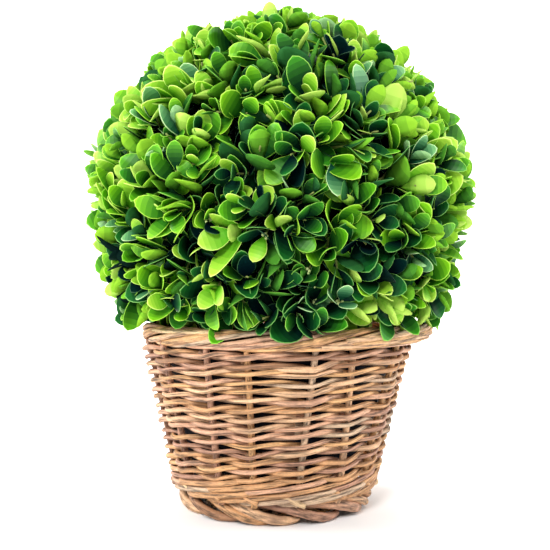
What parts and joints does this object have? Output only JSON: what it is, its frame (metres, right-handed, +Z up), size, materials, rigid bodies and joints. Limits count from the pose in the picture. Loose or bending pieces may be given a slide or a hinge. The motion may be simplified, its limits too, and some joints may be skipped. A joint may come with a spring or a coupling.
{
  "type": "box topiary ball in a woven basket",
  "caption": "Clipped ball of evergreen box leaves on a short hidden stem, standing in a round tapered basket of woven willow with a rolled rim and foot.",
  "frame": {"origin": "middle of the basket's flat underside, where the plant stands", "axes": "+Z up the plant, +X towards the side that the basket leans to, -Y towards the front"},
  "size_m": [0.201, 0.2007, 0.254],
  "materials": {
    "willow_rods": "dry peeled and buff willow rods, satin to matt, varying rod to rod",
    "willow_base": "dry willow, matt",
    "liner_film": "thin dark plastic film",
    "potting_fibre": "coarse brown fibre, matt",
    "box_bark": "grey-brown bark, matt",
    "box_leaves": "small leathery leaves, satin, dark to yellow-green"
  },
  "bodies": {
    "root": {"foot_border": "willow_base", "woven_base": "willow_base", "side_weave": "willow_rods", "rim_border": "willow_rods", "liner": "liner_film", "potting_fill": "potting_fibre", "stake_01": "willow_rods", "stake_02": "willow_rods", "stake_03": "willow_rods", "stake_04": "willow_rods", "stake_05": "willow_rods", "stake_06": "willow_rods", "stake_07": "willow_rods", "stake_08": "willow_rods", "stake_09": "willow_rods", "stake_10": "willow_rods", "stake_11": "willow_rods", "stake_12": "willow_rods", "stake_13": "willow_rods", "stake_14": "willow_rods", "stake_15": "willow_rods", "stake_16": "willow_rods", "stem": "box_bark", "leaf_ball": "box_leaves"}
  },
  "joints": []
}
